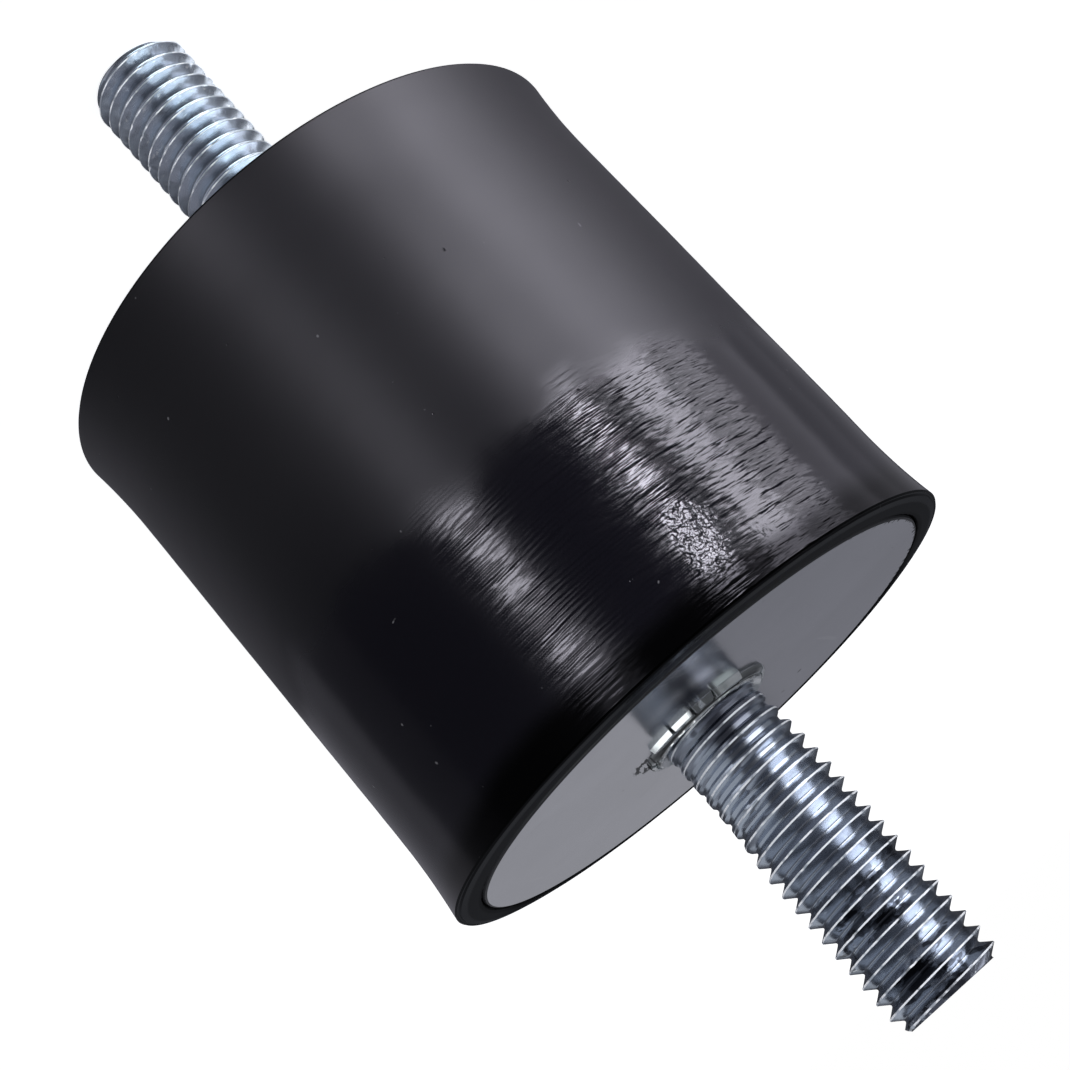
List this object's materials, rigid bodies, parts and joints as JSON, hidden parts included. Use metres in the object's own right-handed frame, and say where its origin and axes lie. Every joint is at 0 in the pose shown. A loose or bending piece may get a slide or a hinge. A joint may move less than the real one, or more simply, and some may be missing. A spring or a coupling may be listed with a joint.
{
  "type": "rubber buffer",
  "caption": "Cylindrical rubber buffer with a flush steel plate and a threaded stud on the axis at each end, for bolting a machine to its base so that vibration is absorbed.",
  "frame": {"origin": "centre of the lower plate's outer face, where the buffer seats on what it is bolted to", "axes": "+Z along the axis from the lower stud to the upper one; X and Y are free, as the buffer is round"},
  "size_m": [0.05, 0.05, 0.106],
  "materials": {
    "rubber": "satin moulded black rubber",
    "zinc_plate": "satin zinc-plated steel",
    "zinc_stud": "bright zinc-plated steel"
  },
  "bodies": {
    "root": {"rubber_body": "rubber", "upper_plate": "zinc_plate", "lower_plate": "zinc_plate", "upper_stud": "zinc_stud", "lower_stud": "zinc_stud"}
  },
  "joints": []
}
